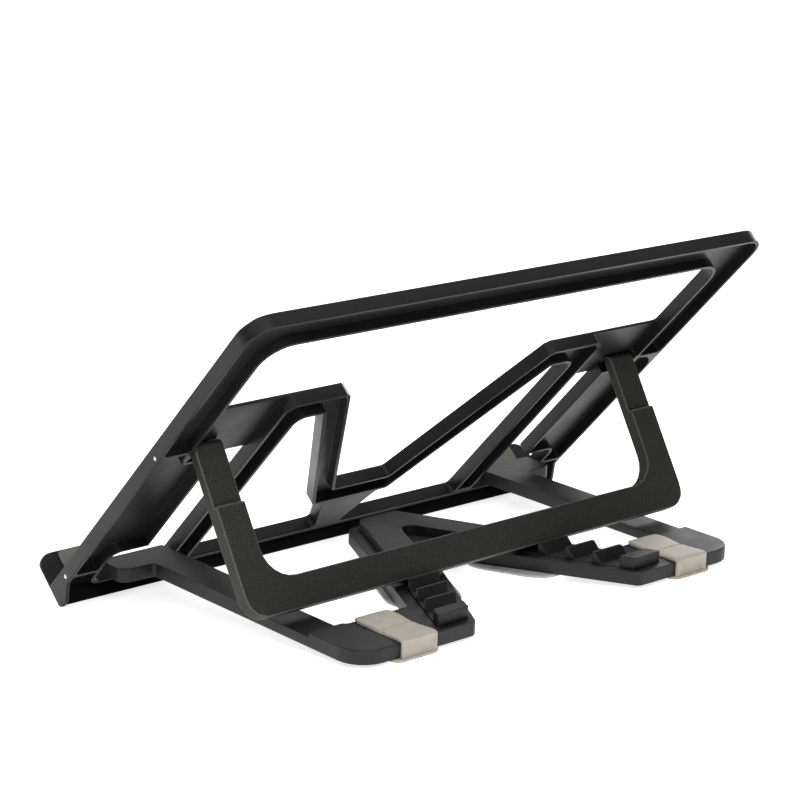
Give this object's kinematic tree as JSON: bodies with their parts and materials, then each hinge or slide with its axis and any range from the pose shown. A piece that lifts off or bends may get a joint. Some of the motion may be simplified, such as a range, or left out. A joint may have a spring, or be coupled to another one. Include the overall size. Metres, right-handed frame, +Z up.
{
  "type": "laptop stand",
  "caption": "Folding laptop stand: an open plastic tray with two front lips, hinged to a V-shaped base and held up by a U-shaped prop that stands in a stepped rack.",
  "frame": {"origin": "on the desk, in the middle of the stand's footprint", "axes": "+X to the user's right, +Y from the user's side to the back, +Z up"},
  "size_m": [0.3, 0.1828, 0.1489],
  "materials": {
    "tray_plastic": "satin moulded black",
    "prop_plastic": "fine spark texture, matt black",
    "base_plastic": "satin moulded black",
    "rack_plastic": "matt moulded black",
    "cap_rubber": "warm light grey, satin",
    "pad_rubber": "light grey, matt",
    "lip_rubber": "mid grey, matt",
    "pin_steel": "bright drawn steel"
  },
  "bodies": {
    "base": {"base": "base_plastic", "rack": "rack_plastic", "foot_cap_left": "cap_rubber", "foot_cap_right": "cap_rubber", "arm_pad_left": "pad_rubber", "arm_pad_right": "pad_rubber"},
    "tray": {"tray": "tray_plastic", "lip_pad_left": "lip_rubber", "lip_pad_right": "lip_rubber", "lower_pin_left": "pin_steel", "lower_pin_right": "pin_steel", "upper_pin_left": "pin_steel", "upper_pin_right": "pin_steel"},
    "prop": {"prop": "prop_plastic"}
  },
  "joints": [
    {"name": "tray_tilt", "type": "hinge", "parent": "base", "child": "tray", "pos_m": [0, -0.06613, 0.01511], "axis": [1, 0, 0], "range_deg": [0, 53.2]},
    {"name": "prop_swing", "type": "hinge", "parent": "tray", "child": "prop", "pos_m": [0, 0.00479, 0.08077], "axis": [1, 0, 0], "range_deg": [0, 106.4]}
  ],
  "couplings": [
    {"joint": "prop_swing", "follows": "tray_tilt", "ratio": 2}
  ]
}
